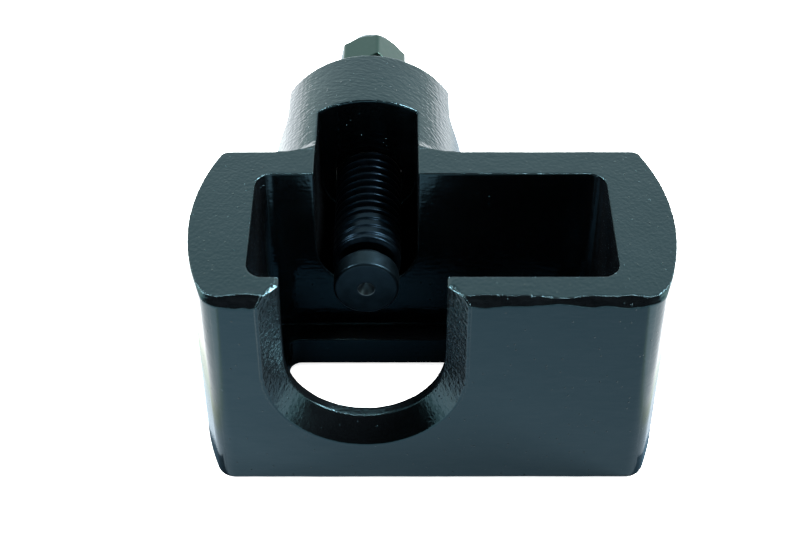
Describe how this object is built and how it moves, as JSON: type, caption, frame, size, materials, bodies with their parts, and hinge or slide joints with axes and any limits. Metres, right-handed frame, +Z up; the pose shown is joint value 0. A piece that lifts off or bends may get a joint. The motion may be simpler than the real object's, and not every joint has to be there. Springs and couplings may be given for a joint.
{
  "type": "ball joint separator",
  "caption": "Forged box frame with a round-bottomed fork slot in one wall and a hex-headed forcing screw with a swivelling thrust tip through a boss in the other.",
  "frame": {"origin": "bottom centre of the whole tool's bounding box, with the screw as it is stored, on the plane that the frame stands on", "axes": "+X along the frame, +Y from the fork wall back along the forcing screw to its hexagon, +Z up to the frame's open top"},
  "size_m": [0.1204, 0.1398, 0.0639],
  "materials": {
    "black_paint": "semi-gloss black enamel over a fine forged skin",
    "blackened_steel": "oil-blackened turned steel",
    "hardened_tip_steel": "oil-blackened hardened steel, faced on a lathe",
    "bearing_steel": "polished bearing ball",
    "spring_steel": "bare round-edged spring wire"
  },
  "bodies": {
    "frame_body": {"frame": "black_paint"},
    "tip_body": {"thrust_tip": "hardened_tip_steel", "thrust_ball": "bearing_steel"},
    "screw_body": {"forcing_screw": "blackened_steel", "tip_snap_ring": "spring_steel"}
  },
  "joints": [
    {"name": "screw_feed", "type": "slide", "parent": "frame_body", "child": "tip_body", "axis": [0, 1, 0], "range_m": [-0.0228, 0.04]},
    {"name": "screw_turn", "type": "hinge", "parent": "tip_body", "child": "screw_body", "pos_m": [-0.0166, 0, 0.03735], "axis": [0, 1, 0], "range_deg": [-2737, 4801]}
  ],
  "couplings": [
    {"joint": "screw_turn", "follows": "screw_feed", "rad_per_m": 2094.4}
  ]
}
